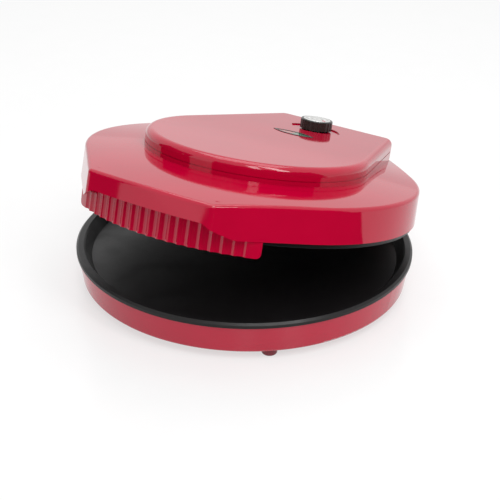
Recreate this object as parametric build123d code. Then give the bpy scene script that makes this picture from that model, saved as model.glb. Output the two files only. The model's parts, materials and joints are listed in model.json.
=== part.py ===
"""Countertop pizza oven: a round base with a cooking pan, and a hinged lid with the upper plate.

Millimetres, +Z up, front towards -Y. The lid's pieces are drawn closed, where "height" is
measured from the rim plane, the joint between the base housing and the pan's rim, and are then
swung open about the hinge pin.
"""
from build123d import *
from math import acos, asin, atan2, cos, degrees, hypot, radians, sin
import os

# ---------------------------------------------------------------- driving dimensions
lid_open_angle = 13.3          # how far the lid stands open, degrees from closed
lid_travel = 90.0              # whole swing of the lid, degrees from closed
dial_travel = 270.0            # whole turn of the thermostat dial, degrees

pan_radius = 170.0             # outer edge of the pan's rim
pan_rim_width = 9.0            # flat lip, from outer edge to the cooking side
pan_rim_height = 5.0           # lip above the rim plane
pan_depth = 12.0               # from the lip down to the cooking surface
pan_wall = 3.0                 # casting thickness
pan_slope = 6.5                # how far the pan's side leans in

base_height = 29.0             # base housing, rim plane to underside
base_inset = 1.5               # housing's top edge inside the pan's edge
base_taper = 4.5               # how far the housing draws in towards its underside
base_wall = 2.2
base_bottom_round = 4.0
foot_height = 7.6
foot_radius = 7.5
foot_inset = 11.5              # feet's centres inside the housing's bottom edge
foot_angle = 41.5              # of a front foot, from straight ahead
foot_seat_depth = 0.8          # recess in the housing that locates a foot
foot_screw_depth = 3.7         # screw head's seat inside the foot
vent_length = 22.0
vent_width = 3.2
vent_rings = (24.0, 34.0, 44.0)

lid_side_inset = 2.8           # lid's round sides inside the pan's edge, at the lid's top
lid_side_centre = -2.0         # their centre, in front of the pan's centre
lid_corner_x = 67.7            # four corners of the lid, half width
lid_front_reach = 11.4         # front corners beyond the pan's edge
lid_back_reach = 6.0           # rear wall beyond the pan's edge
lid_front_bulge = 5.0          # how far the front edge bows out
lid_corner_round = 7.0
lid_top_height = 44.9          # edge of the lid's top above the rim plane, at its sides
lid_crown = 8.0                # how far the top rises from there to its middle
lid_skirt_height = 11.3        # skirt's lower edge above the rim plane
lid_flare = 0.8                # how far the skirt leans out
lid_wall = 2.4
lid_edge_round = 3.5
arch_height = 24.3             # front visor's raised lower edge, above the rim plane
arch_half_width = 60.5         # to where the edge starts to come down
arch_foot_half_width = 83.5
arch_round = 12.0
arch_depth = 66.0              # how far back from the visor's front the arch reaches

cover_radius = 113.0           # raised control cover, round front
cover_centre = 3.0
cover_corner_x = 69.0
cover_corner_inset = 3.5       # cover's rear wall inside the lid's
cover_corner_round = 10.0
cover_rise = 21.9              # cover's flat top above the lid's top edge
cover_edge_round = 7.0
cover_wall = 2.4
cover_screw_length = 12.0
plinth_rise = 8.5              # top of the step that the cover stands on, above the lid's top edge
seam_width = 0.9               # shadow line between cover and plinth
seam_depth = 0.8

handle_clearance = 1.3         # between the pan's edge and the grip, in plan
handle_thickness = 3.7
handle_half_angle = 35.3
handle_end_angle = 4.3         # plain block at each end of the grip
handle_drop = 4.6              # grip's lower edge below the rim plane
handle_top_height = 31.0
handle_flange = 3.0
handle_flange_width = 11.0
handle_flange_half_angle = 32.0
handle_end_round = 5.0
handle_screw_x = 64.0          # outer screws, half distance
handle_screw_length = 9.0
rib_count = 18
rib_depth = 1.8
rib_scallop_radius = 6.5

upper_rim_inset = 5.0          # upper plate's edge inside the pan's edge
upper_rim_gap = 1.0            # between the two cooking rims with the lid closed
upper_depth = 13.7             # upper plate's hollow
upper_rim_width = 6.5
upper_rim_thickness = 4.8      # rim's flange, below the lid's skirt

element_inset = 49.5           # heating ring inside the edge of the pan's floor
element_tube_radius = 3.4
element_gap = 0.3              # tube to plate
element_open_angle = 9.0       # half of the gap in the ring
element_tail = 16.0            # straight ends with the terminals
terminal_radius = 1.6
terminal_length = 9.0
clip_sheet = 0.8
clip_width = 8.0
clip_foot = 7.0
clip_angles = (30.0, 150.0, 270.0)

reflector_sheet = 0.8
reflector_inset = 5.0          # inside the edge of the pan's floor
reflector_edge = 2.8
reflector_gap = 8.2            # from plate to reflector
fuse_size = (24.0, 11.0, 5.0)
fuse_point = (-42.0, 62.0)
fuse_turn = 30.0
block_length = 30.0            # terminal block
block_width = 14.0
block_pitch = 9.0
block_inset = 31.6             # its middle inside the housing's bottom edge
block_angle = 117.0            # round the rear, from +X
block_gap = 0.6                # under the reflector
plate_screw_circle = 60.0
plate_screw_angles = (30.0, 150.0, 270.0)
plate_boss_radius = 5.0
housing_boss_radius = 6.0

screw_radius = 1.9
screw_head_radius = 3.4
screw_head_height = 2.2
screw_slot = 0.9
screw_clearance = 0.1          # radial, in every screw hole
plate_screw_depth = 2.6        # heads of the lower plate's screws inside the housing's floor

hinge_reach = 12.2             # axis behind the pan's edge
hinge_axis_height = -2.6       # above the rim plane
hinge_barrel_radius = 8.0
hinge_pin_radius = 3.0
hinge_running_clearance = 0.05  # radial, pin in the lid's knuckles
knuckle_inner_x = 24.0
knuckle_outer_x = 40.0
ear_gap = 0.4                  # sideways, between a knuckle and its ear
ear_width = 13.6
hinge_plate_thickness = 4.5
knuckle_clearance = 1.2        # under the swinging knuckles
pan_to_ear = 0.8               # between the pan's rim and the ears
lid_hinge_screw_x = 14.0
lid_hinge_screw_length = 9.0
lid_hinge_screw_drop = 9.0     # below the lid's top edge
bracket_screw_x = 32.0
bracket_screw_length = 14.0
bracket_screw_drop = 16.0      # below the rim plane
pin_clip_width = 1.2
pin_clip_wall = 2.2
pin_end = 0.8

gland_angle = 34.0             # round the rear, from the middle to the left
gland_drop = 16.5              # below the rim plane
gland_bore_radius = 3.5
gland_neck_radius = 6.0
gland_flange_radius = 8.5
gland_flange = 2.5
gland_length = 16.0
gland_pad_proud = 2.4
gland_pad_depth = 4.2          # pad's inner face inside the wall's outer face
gland_lip = 0.9                # inner lip that holds the gland in the wall
gland_pad_radius = 9.5

knob_radius = 17.0
knob_height = 10.3
knob_lift = 0.5                # running gap over the cover
knob_y = 121.0                 # dial's axis, behind the pan's centre
knob_wall = 2.6
knob_flutes = 24
knob_flute_radius = 1.3
knob_edge_round = 1.2
knob_hub_radius = 6.0
knob_cap_radius = 14.4
knob_cap_thickness = 1.2
shaft_radius = 3.0
shaft_flat = 1.4               # depth of the D flat
shaft_clearance = 0.05         # radial, shaft in the thermostat's neck
shaft_reach = 9.0              # into the knob

eye_half_length = 29.0         # almond-shaped recess round the dial
eye_half_width = 20.0
eye_depth = 1.2
window_half_length = 24.0      # almond-shaped light window
window_half_width = 8.0
window_y = 72.5
bezel_width = 1.4
bezel_proud = 0.5
bezel_height = 4.0
lens_gap = 0.15
lens_recess = 0.3
lens_thickness = 3.0
lamp_gap = 0.3
lamp_radius = 2.6
lamp_length = 13.0
lamp_x = 9.0
lamp_holder_overhang = 1.5     # past the window's ends
lamp_holder_width = 13.0
lamp_holder_sheet = 1.2
lamp_holder_leg = 2.2

thermostat_radius = 16.0
thermostat_opening = 25.0      # in the lid's top, under the cover
lamp_opening = 16.0
thermostat_height = 14.0
neck_radius = 4.5
neck_clearance = 0.15
nut_radius = 6.6
nut_height = 2.0

fit_gap = 0.15                 # between pieces that are screwed together and only look closed
tool_margin = 10.0             # how far cutting forms pass what they cut

# ---------------------------------------------------------------- derived levels and points
rim_z = foot_height + base_height
base_top_radius = pan_radius - base_inset
base_bottom_radius = base_top_radius - base_taper
base_floor_z = foot_height + base_wall
foot_circle = base_bottom_radius - foot_inset
pan_lip_z = rim_z + pan_rim_height
pan_floor_z = pan_lip_z - pan_depth
pan_under_z = pan_floor_z - pan_wall
pan_side_radius = pan_radius - pan_rim_width
pan_floor_radius = pan_side_radius - pan_slope
element_ring_radius = pan_floor_radius - element_inset
reflector_radius = pan_floor_radius - reflector_inset

lid_side_radius = pan_radius - lid_side_inset
lid_front_corner_y = -pan_radius - lid_front_reach
lid_back_corner_y = pan_radius + lid_back_reach
cover_corner_y = lid_back_corner_y - cover_corner_inset
lid_top_z = rim_z + lid_top_height
lid_under_z = lid_top_z - lid_wall
skirt_z = rim_z + lid_skirt_height
plinth_z = lid_top_z + plinth_rise
cover_top_z = lid_top_z + cover_rise
cover_under_z = cover_top_z - cover_wall
lid_front_y = lid_front_corner_y - lid_front_bulge

upper_rim_z = pan_lip_z + upper_rim_gap
upper_floor_z = upper_rim_z + upper_depth
upper_back_z = upper_floor_z + pan_wall
upper_rim_radius = pan_radius - upper_rim_inset
upper_side_radius = upper_rim_radius - upper_rim_width

lower_reflector_z = pan_under_z - reflector_gap
upper_reflector_z = upper_back_z + reflector_gap

hinge_axis_y = pan_radius + hinge_reach
hinge_z = rim_z + hinge_axis_height
ear_inner_x = knuckle_outer_x + ear_gap
ear_outer_x = ear_inner_x + ear_width
screw_hole_radius = screw_radius + screw_clearance
handle_inner_radius = pan_radius + handle_clearance
handle_outer_radius = handle_inner_radius + handle_thickness
handle_bottom_z = rim_z - handle_drop
handle_top_z = rim_z + handle_top_height
eye_floor_z = cover_top_z - eye_depth


def swing(point_y, point_z, angle):
    """Where a point of the closed lid stands after the lid has swung open by angle."""
    turn = radians(angle)
    dy = point_y - hinge_axis_y
    dz = point_z - hinge_z
    return (hinge_axis_y + dy * cos(turn) + dz * sin(turn), hinge_z - dy * sin(turn) + dz * cos(turn))


def crown_z(radius):
    """Level of the lid's crowned top at a distance from the middle."""
    ball = (lid_side_radius ** 2 + lid_crown ** 2) / (2 * lid_crown)
    return lid_top_z + lid_crown - ball + (ball ** 2 - radius ** 2) ** 0.5


def cover_screw_seat(x, y):
    """Level of the boss under the lid's top that a cover screw's head bears on."""
    return crown_z(hypot(x, y)) - lid_wall - 1.0


plate_screw_seat = crown_z(plate_screw_circle) - 1.2
cover_screw_points = ((-62, -32), (62, -32), (-52, 125), (52, 125))


# ---------------------------------------------------------------- helpers
def turned(points):
    """Solid of revolution about Z from a closed outline of (radius, z) points."""
    return revolve(Plane.XZ * make_face(Polyline(*points, close=True)), Axis.Z)


def polar(radius, angle, z=0.0):
    """Location at an angle from +X, turned to face outwards."""
    return Pos(radius * cos(radians(angle)), radius * sin(radians(angle)), z) * Rot(0, 0, angle)


def rod(radius, z0, z1, x=0.0, y=0.0):
    """Upright cylinder between two levels."""
    return Pos(x, y, (z0 + z1) / 2) * Cylinder(radius, z1 - z0)


def tangent_point(centre_y, radius, corner):
    """Where the line from a corner (x > 0) touches the circle about (0, centre_y), on the side
    of the corner that faces away from the middle."""
    dx = corner[0]
    dy = corner[1] - centre_y
    reach = acos(radius / hypot(dx, dy))
    along = atan2(dx, abs(dy)) + reach
    side = 1 if dy > 0 else -1
    return (radius * sin(along), centre_y + side * radius * cos(along))


def grown_corner(centre_y, radius, corner, grow):
    """A corner moved so that the straight edge and the tangent beside it both move out by grow."""
    touch = tangent_point(centre_y, radius, corner)
    nx = touch[0] / radius
    ny = abs(touch[1] - centre_y) / radius
    side = 1 if corner[1] > centre_y else -1
    return (corner[0] + grow * (1 - ny) / nx, corner[1] + side * grow)


def lid_face(grow=0.0):
    """The lid in plan: round sides, tangents to four corners, a bowed front and a straight back."""
    front = grown_corner(lid_side_centre, lid_side_radius, (lid_corner_x, lid_front_corner_y), grow)
    back = grown_corner(lid_side_centre, lid_side_radius, (lid_corner_x, lid_back_corner_y), grow)
    radius = lid_side_radius + grow
    front_touch = tangent_point(lid_side_centre, radius, front)
    back_touch = tangent_point(lid_side_centre, radius, back)
    edges = [
        ThreePointArc((-front[0], front[1]), (0, lid_front_y - grow), front),
        Line(front, front_touch),
        ThreePointArc(front_touch, (radius, lid_side_centre), back_touch),
        Line(back_touch, back),
        Line(back, (-back[0], back[1])),
        Line((-back[0], back[1]), (-back_touch[0], back_touch[1])),
        ThreePointArc((-back_touch[0], back_touch[1]), (-radius, lid_side_centre),
                      (-front_touch[0], front_touch[1])),
        Line((-front_touch[0], front_touch[1]), (-front[0], front[1])),
    ]
    face = make_face(edges)
    corners = face.vertices().sort_by(lambda v: abs(v.X))[:4]
    return fillet(corners, lid_corner_round + grow)


def cover_face(grow=0.0):
    """The control cover in plan: a round front that tapers to two corners at the back."""
    back = grown_corner(cover_centre, cover_radius, (cover_corner_x, cover_corner_y), grow)
    radius = cover_radius + grow
    touch = tangent_point(cover_centre, radius, back)
    edges = [
        ThreePointArc((-touch[0], touch[1]), (0, cover_centre - radius), touch),
        Line(touch, back),
        Line(back, (-back[0], back[1])),
        Line((-back[0], back[1]), (-touch[0], touch[1])),
    ]
    face = make_face(edges)
    corners = face.vertices().sort_by(Axis.Y)[-2:]
    return fillet(corners, cover_corner_round + grow)


def almond(half_length, half_width):
    """Pointed oval along X."""
    left = (-half_length, 0)
    right = (half_length, 0)
    return make_face([ThreePointArc(left, (0, half_width), right),
                      ThreePointArc(right, (0, -half_width), left)])


def lid_prism(z0, z1, grow0, grow1):
    """Leaning block of the lid's outline between two levels."""
    return loft([Pos(0, 0, z0) * lid_face(grow0), Pos(0, 0, z1) * lid_face(grow1)], ruled=True)


def above_crown(drop):
    """Everything over the lid's crowned top, lowered by drop."""
    far = lid_side_radius * 1.3
    rim = [(0, crown_z(0) - drop), (far / 2, crown_z(far / 2) - drop), (far, crown_z(far) - drop)]
    high = cover_top_z + tool_margin
    edges = [ThreePointArc(*rim), Line(rim[2], (far, high)), Line((far, high), (0, high)),
             Line((0, high), rim[0])]
    return revolve(Plane.XZ * make_face(edges), Axis.Z)


def lean(z):
    """How far the lid's skirt stands out of its top outline at a level."""
    return lid_flare * (lid_top_z - z) / (lid_top_z - skirt_z)


def screw(length):
    """Slotted pan-head screw, head down, its seat at z = 0 and its shank up."""
    head = turned([(0, 0), (screw_head_radius, 0), (screw_head_radius, -screw_head_height * 0.5),
                   (screw_head_radius * 0.72, -screw_head_height), (0, -screw_head_height)])
    slot = Pos(0, 0, -screw_head_height) * Box(screw_head_radius * 1.5, screw_slot, screw_slot * 2)
    return head + rod(screw_radius, 0, length) - slot


def screws(length, places):
    """Several equal screws, as separate solids of one node."""
    return Compound([place * screw(length) for place in places])


def plate_places(z):
    """Places of the three screws that hold a cooking plate."""
    return [polar(plate_screw_circle, angle, z) for angle in plate_screw_angles]


# ---------------------------------------------------------------- cooking plates and heating
def lower_plate():
    """Cast pan: a raised flat rim that caps the housing, a leaning side and a flat floor."""
    pan = turned([
        (0, pan_floor_z), (pan_floor_radius, pan_floor_z), (pan_side_radius, pan_lip_z - 1.5),
        (pan_side_radius + 1.5, pan_lip_z), (pan_radius - 2.0, pan_lip_z),
        (pan_radius, pan_lip_z - 2.0), (pan_radius, rim_z),
        (base_top_radius - base_wall - 1.2, rim_z), (pan_floor_radius + 2.6, pan_under_z),
        (0, pan_under_z),
    ])
    for angle in plate_screw_angles:
        boss = polar(plate_screw_circle, angle) * rod(plate_boss_radius, lower_reflector_z, pan_under_z)
        pan += boss
        pan -= polar(plate_screw_circle, angle) * rod(screw_hole_radius, lower_reflector_z, pan_under_z + 1)
    return pan


def upper_plate():
    """Inverted pan of the lid: its rim closes just above the lower one."""
    flange_z = upper_rim_z + upper_rim_thickness
    plate = turned([
        (0, upper_floor_z), (upper_side_radius - pan_slope, upper_floor_z),
        (upper_side_radius, upper_rim_z), (upper_rim_radius - 1.0, upper_rim_z),
        (upper_rim_radius, upper_rim_z + 1.0), (upper_rim_radius, flange_z),
        (upper_rim_radius - pan_wall, flange_z), (upper_side_radius - pan_slope + 2.6, upper_back_z),
        (0, upper_back_z),
    ])
    for angle in plate_screw_angles:
        boss = polar(plate_screw_circle, angle) * rod(plate_boss_radius, upper_back_z, upper_reflector_z)
        plate += boss
        plate -= polar(plate_screw_circle, angle) * rod(screw_hole_radius, upper_back_z - 1, upper_reflector_z)
    return plate


def element(z):
    """Tubular heating ring, open at the rear, with two straight ends and their terminals."""
    tube = Plane.XZ * (Pos(element_ring_radius, 0) * Circle(element_tube_radius))
    ring = Rot(0, 0, 90 + element_open_angle) * revolve(tube, Axis.Z, 360 - 2 * element_open_angle)
    for side in (-1, 1):
        angle = 90 + side * element_open_angle
        place = polar(element_ring_radius, angle) * Rot(0, 90, 0)
        ring += place * Sphere(element_tube_radius)
        ring += place * rod(element_tube_radius, 0, element_tail)
        ring += place * rod(terminal_radius, element_tail - 1, element_tail + terminal_length)
    return Pos(0, 0, z) * ring


def element_clips(z, facing):
    """Three sheet straps over a heating ring. facing is 1 where the plate is above the ring."""
    inner = element_tube_radius + element_gap
    outer = inner + clip_sheet
    saddle = Circle(outer) + Pos(0, inner / 2) * Rectangle(2 * outer, inner)
    saddle -= Circle(inner) + Pos(0, inner) * Rectangle(2 * inner, 2 * inner)
    saddle -= Pos(0, inner + outer) * Rectangle(4 * outer, 2 * outer)
    for side in (-1, 1):
        foot_x = side * (inner + (clip_sheet + clip_foot) / 2)
        saddle += Pos(foot_x, inner - clip_sheet / 2) * Rectangle(clip_sheet + clip_foot, clip_sheet)
    strap = extrude(Plane.XZ * saddle, clip_width / 2, both=True)
    if facing < 0:
        strap = Rot(180, 0, 0) * strap
    return Compound([polar(element_ring_radius, angle + 60, z) * strap for angle in clip_angles])


def reflector(z, facing):
    """Pressed heat shield with a turned-up edge. facing is 1 where the plate is above it."""
    far = z - facing * reflector_sheet
    edge = z + facing * reflector_edge
    sheet = turned([(0, z), (reflector_radius, z), (reflector_radius + 2.4, edge),
                    (reflector_radius + 3.2, edge), (reflector_radius + 0.9, far), (0, far)])
    for angle in plate_screw_angles:
        sheet -= polar(plate_screw_circle, angle) * rod(screw_hole_radius, min(z, far), max(z, far))
    return sheet


def thermal_fuse():
    """Safety cut-out in its bracket, flat against the pan's underside."""
    body = Box(*fuse_size)
    body = fillet(body.edges().filter_by(Axis.Z), fuse_size[2] / 2)
    return Pos(*fuse_point, pan_under_z - fuse_size[2] / 2) * Rot(0, 0, fuse_turn) * body


# ---------------------------------------------------------------- base
def base_envelope(grow=0.0):
    """Outer form of the base housing, filled."""
    form = turned([(0, foot_height - grow), (base_bottom_radius + grow, foot_height - grow),
                   (base_top_radius + grow, rim_z), (0, rim_z)])
    return fillet(form.edges().group_by(Axis.Z)[0], base_bottom_round)


def base_rise(z):
    """Outer radius of the housing's wall at a level."""
    return base_bottom_radius + base_taper * (z - foot_height) / base_height


def foot_places():
    return {
        "foot_front_left": polar(foot_circle, 270 - foot_angle),
        "foot_front_right": polar(foot_circle, 270 + foot_angle),
        "foot_rear_left": polar(foot_circle, 90 + foot_angle),
        "foot_rear_right": polar(foot_circle, 90 - foot_angle),
    }


def gland_place():
    """Middle of the gland on the housing's wall, its local Z pointing outwards."""
    z = rim_z - gland_drop
    return polar(base_rise(z), 90 + gland_angle, z) * Rot(0, 90, 0)


def base_shell():
    """Open housing with a floor, bosses under the pan, foot seats, vents and the gland's pad."""
    hollow = turned([(0, base_floor_z), (base_bottom_radius - base_wall, base_floor_z),
                     (base_top_radius - base_wall, rim_z + 1), (0, rim_z + 1)])
    hollow = fillet(hollow.edges().group_by(Axis.Z)[0], base_bottom_round - base_wall)
    shell = base_envelope() - hollow
    boss_top = lower_reflector_z - reflector_sheet
    for place in plate_places(0):
        shell += place * rod(housing_boss_radius, base_floor_z - 1, boss_top)
    for place in plate_places(0):
        shell -= place * rod(screw_hole_radius, 0, boss_top)
        shell -= place * rod(screw_head_radius + 0.6, 0, foot_height + plate_screw_depth)
    for place in foot_places().values():
        shell += place * rod(foot_radius, base_floor_z - 1, base_floor_z + foot_seat_depth)
        shell -= place * rod(foot_radius + fit_gap, 0, foot_height + foot_seat_depth)
        shell -= place * rod(screw_hole_radius, 0, base_floor_z + 5)
    vent = SlotOverall(vent_length, vent_width)
    for ring_radius in vent_rings:
        for angle in plate_screw_angles:
            place = polar(ring_radius, angle + 60, base_floor_z)
            shell -= place * Rot(0, 0, 90) * extrude(vent, base_wall + 1, both=True)
    shell += gland_place() * rod(gland_pad_radius, -gland_pad_depth, gland_pad_proud)
    shell -= gland_place() * rod(gland_neck_radius + fit_gap, -8, 8)
    for place in bracket_screw_places():
        shell -= place * rod(screw_hole_radius, base_bottom_radius * 0.8, base_top_radius + 5)
    return shell


def bracket_screw_places():
    """Axes of the screws from inside the housing into the hinge bracket."""
    z = rim_z - bracket_screw_drop
    return [Pos(x, 0, z) * Rot(-90, 0, 0) for x in (-bracket_screw_x, bracket_screw_x)]


def foot():
    """Rounded moulded foot with a recess for its screw."""
    form = rod(foot_radius, 0, foot_height + foot_seat_depth)
    form = fillet(form.edges().group_by(Axis.Z)[0], 2.4)
    form -= rod(screw_head_radius + 0.5, 0, foot_screw_depth)
    form -= rod(screw_hole_radius, 0, foot_height + foot_seat_depth)
    return form


def foot_screws():
    length = base_floor_z + foot_seat_depth - foot_screw_depth
    places = [place * Pos(0, 0, foot_screw_depth) for place in foot_places().values()]
    return screws(length, places)


def lower_plate_screws():
    seat = foot_height + plate_screw_depth
    return screws(pan_under_z - seat, plate_places(seat))


def terminal_block():
    """Three-way block on the floor, with its wire ways and clamp screws' wells."""
    height = lower_reflector_z - reflector_sheet - base_floor_z - block_gap
    block = Box(block_length, block_width, height)
    for i in (-1, 0, 1):
        x = i * block_pitch
        block -= Pos(x, 0, 0) * Rot(90, 0, 0) * Cylinder(1.3, block_width)
        block -= Pos(x, block_width / 4, height / 2) * Cylinder(1.5, 2.4)
    place = polar(base_bottom_radius - block_inset, block_angle, base_floor_z + height / 2)
    return place * Rot(0, 0, -90) * block


def cord_gland():
    """Flanged bush that the mains cord enters through."""
    inner = gland_pad_proud - gland_length * 0.6
    outer = inner + gland_length
    bush = rod(gland_neck_radius, inner, gland_pad_proud)
    bush += rod(gland_flange_radius, gland_pad_proud, gland_pad_proud + gland_flange)
    bush += rod(gland_neck_radius - 0.6, gland_pad_proud + gland_flange, outer)
    bush += rod(gland_neck_radius + gland_lip, inner, -gland_pad_depth - fit_gap)
    bush -= rod(gland_bore_radius, inner - 1, outer + 1)
    return gland_place() * bush


# ---------------------------------------------------------------- hinge
def side_prism(points, x0, x1):
    """Extrusion along X of a closed outline of (y, z) points."""
    face = Plane.YZ * make_face(Polyline(*points, close=True))
    return Pos(x0, 0, 0) * extrude(face, x1 - x0)


def cross_rod(radius, x0, x1):
    """Cylinder on the hinge's axis."""
    return Pos((x0 + x1) / 2, hinge_axis_y, hinge_z) * Rot(0, 90, 0) * Cylinder(radius, abs(x1 - x0))


def hinge_bracket():
    """Block on the housing's rear wall with two ears that carry the pin."""
    r = hinge_barrel_radius
    low = foot_height + 1.0
    deck = hinge_z - r - knuckle_clearance
    front = base_bottom_radius * 0.88
    back = hinge_axis_y + r * 0.7
    bracket = side_prism([(front, deck), (front, low), (hinge_axis_y - 4, low), (back, deck)],
                         -ear_outer_x, ear_outer_x)
    for side in (-1, 1):
        x0, x1 = sorted((side * ear_inner_x, side * ear_outer_x))
        bracket += side_prism([(front, hinge_z + 2), (front, low), (hinge_axis_y - 4, low), (back, deck),
                               (hinge_axis_y + r * 0.96, hinge_z - 2.2), (hinge_axis_y, hinge_z),
                               (hinge_axis_y - r * 0.9, hinge_z + r * 0.43)], x0, x1)
        bracket += cross_rod(r, x0, x1)
    bracket -= cross_rod(hinge_pin_radius + fit_gap / 2, -ear_outer_x, ear_outer_x)
    bracket -= base_envelope(fit_gap)
    bracket -= rod(pan_radius + pan_to_ear, rim_z - pan_to_ear, rim_z + 20)
    for place in bracket_screw_places():
        bracket -= place * rod(screw_hole_radius, 0, hinge_axis_y - 8)
    return bracket


def hinge_bracket_screws():
    wall = base_rise(rim_z - bracket_screw_drop - screw_head_radius) - base_wall
    seat = (wall ** 2 - (bracket_screw_x + screw_head_radius) ** 2) ** 0.5 - fit_gap
    return screws(bracket_screw_length, [place * Pos(0, 0, seat) for place in bracket_screw_places()])


def hinge_pin():
    reach = ear_outer_x + pin_clip_width + pin_end + 0.4
    pin = cross_rod(hinge_pin_radius, -reach, reach)
    for side in (-1, 1):
        groove = cross_rod(hinge_pin_radius + 1, side * (ear_outer_x + 0.2),
                           side * (ear_outer_x + 0.4 + pin_clip_width))
        groove -= cross_rod(hinge_pin_radius - 0.6, -reach, reach)
        pin -= groove
    return chamfer(pin.edges().group_by(Axis.X)[0] + pin.edges().group_by(Axis.X)[-1], 0.4)


def hinge_pin_clips():
    """Snap rings in the grooves of the pin."""
    rings = []
    for side in (-1, 1):
        x0 = side * (ear_outer_x + 0.3)
        x1 = side * (ear_outer_x + 0.3 + pin_clip_width)
        ring = cross_rod(hinge_pin_radius + pin_clip_wall, x0, x1)
        ring -= cross_rod(hinge_pin_radius - 0.55, x0, x1)
        gap = Pos((x0 + x1) / 2, hinge_axis_y, hinge_z - hinge_pin_radius - 1.5)
        ring -= gap * Box(pin_clip_width * 2, 3.6, 6)
        rings.append(ring)
    return Compound(rings)


def back_wall_y(z):
    """Outer face of the lid's rear wall at a level."""
    return lid_back_corner_y + lean(z)


def lid_hinge_screw_places():
    """Seats of the screws on the hinge plate, square to the leaning wall."""
    z = lid_top_z - lid_hinge_screw_drop
    tilt = degrees(atan2(lid_flare, lid_top_z - skirt_z))
    y = back_wall_y(z) + hinge_plate_thickness / cos(radians(tilt))
    return [Pos(x, y, z) * Rot(90 + tilt, 0, 0) for x in (-lid_hinge_screw_x, lid_hinge_screw_x)]


def lid_hinge():
    """Plate on the lid's rear wall with two knuckles on gusseted arms."""
    r = hinge_barrel_radius
    top = lid_top_z - lid_edge_round - 0.5
    low = skirt_z + 0.4
    out = hinge_plate_thickness / cos(atan2(lid_flare, lid_top_z - skirt_z))
    plate = [(back_wall_y(low) - 1, low), (back_wall_y(low) + out, low),
             (back_wall_y(top) + out, top), (back_wall_y(top) - 1, top)]
    piece = side_prism(plate, -knuckle_outer_x, knuckle_outer_x)
    for side in (-1, 1):
        x0, x1 = sorted((side * knuckle_inner_x, side * knuckle_outer_x))
        piece += side_prism([(hinge_axis_y - r * 0.98, hinge_z), (back_wall_y(low) - 1, low),
                             (back_wall_y(top) - 1, top), (back_wall_y(top) + out, top),
                             (hinge_axis_y + r * 0.98, hinge_z + 1)], x0, x1)
        piece += cross_rod(r, x0, x1)
        piece -= cross_rod(hinge_pin_radius + hinge_running_clearance, x0, x1)
    piece -= lid_prism(skirt_z - 0.1, lid_top_z, lean(skirt_z - 0.1) + fit_gap, fit_gap)
    for place in lid_hinge_screw_places():
        piece -= place * rod(screw_hole_radius, 0, 20)
    return piece


def lid_hinge_screws():
    return screws(lid_hinge_screw_length, lid_hinge_screw_places())


# ---------------------------------------------------------------- lid
def lid_bosses(shell):
    """Bosses under the lid's top: over the upper plate, for the cover and for the handle."""
    for place in plate_places(0):
        shell += place * rod(housing_boss_radius, upper_reflector_z + reflector_sheet, plate_screw_seat)
        shell -= place * rod(screw_hole_radius, upper_reflector_z, plate_screw_seat + 5)
        shell -= place * rod(screw_head_radius + 0.6, plate_screw_seat, plate_screw_seat + 5)
    for x, y in cover_screw_points:
        shell += rod(plate_boss_radius, cover_screw_seat(x, y), crown_z(hypot(x, y)) - 1, x, y)
        shell -= rod(screw_hole_radius, lid_under_z - 5, lid_top_z + 9, x, y)
    for place in handle_screw_places(0):
        shell += place * rod(plate_boss_radius - 1.4, handle_top_z, lid_under_z + 1)
        shell -= place * rod(screw_hole_radius, handle_top_z, lid_under_z)
    return shell


def arch_tool():
    """Cuts the front visor's lower edge into a flat arch."""
    low = skirt_z - 5
    outline = make_face(Polyline(
        (-arch_foot_half_width - 8, low), (-arch_foot_half_width - 8, skirt_z),
        (-arch_foot_half_width, skirt_z), (-arch_half_width, rim_z + arch_height),
        (arch_half_width, rim_z + arch_height), (arch_foot_half_width, skirt_z),
        (arch_foot_half_width + 8, skirt_z), (arch_foot_half_width + 8, low), close=True))
    bends = [v for v in outline.vertices() if abs(v.Y - skirt_z) < 0.01 and abs(v.X) < arch_foot_half_width + 1]
    outline = fillet(bends, arch_round)
    bends = [v for v in outline.vertices() if abs(v.Y - rim_z - arch_height) < 0.01]
    outline = fillet(bends, arch_round)
    return Pos(0, lid_front_y + arch_depth, 0) * extrude(Plane.XZ * outline, arch_depth + tool_margin)


def lid_shell():
    """Moulded lid: leaning walls, crowned top, soft edge, arched visor and the cover's plinth."""
    high = lid_top_z + lid_crown + 2
    shell = lid_prism(skirt_z, high, lid_flare, lean(high)) - above_crown(0)
    shell = fillet(shell.faces().sort_by(Axis.Z)[-1].edges(), lid_edge_round)
    hollow = lid_prism(skirt_z - 1, high, lean(skirt_z - 1) - lid_wall, lean(high) - lid_wall)
    shell -= hollow - above_crown(lid_wall)
    shell -= arch_tool()
    foot_z = lid_under_z - tool_margin
    plinth = extrude(Pos(0, 0, foot_z) * cover_face(), plinth_z - foot_z)
    plinth -= extrude(Pos(0, 0, foot_z) * cover_face(-cover_wall), plinth_z - foot_z)
    shell += plinth & above_crown(lid_wall)
    shell -= rod(thermostat_opening, lid_under_z - 1, plinth_z, 0, knob_y)
    shell -= rod(lamp_opening, lid_under_z - 1, plinth_z, 0, window_y)
    shell = lid_bosses(shell)
    for place in lid_hinge_screw_places():
        shell -= place * rod(screw_hole_radius, 0, 20)
    return shell


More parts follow.
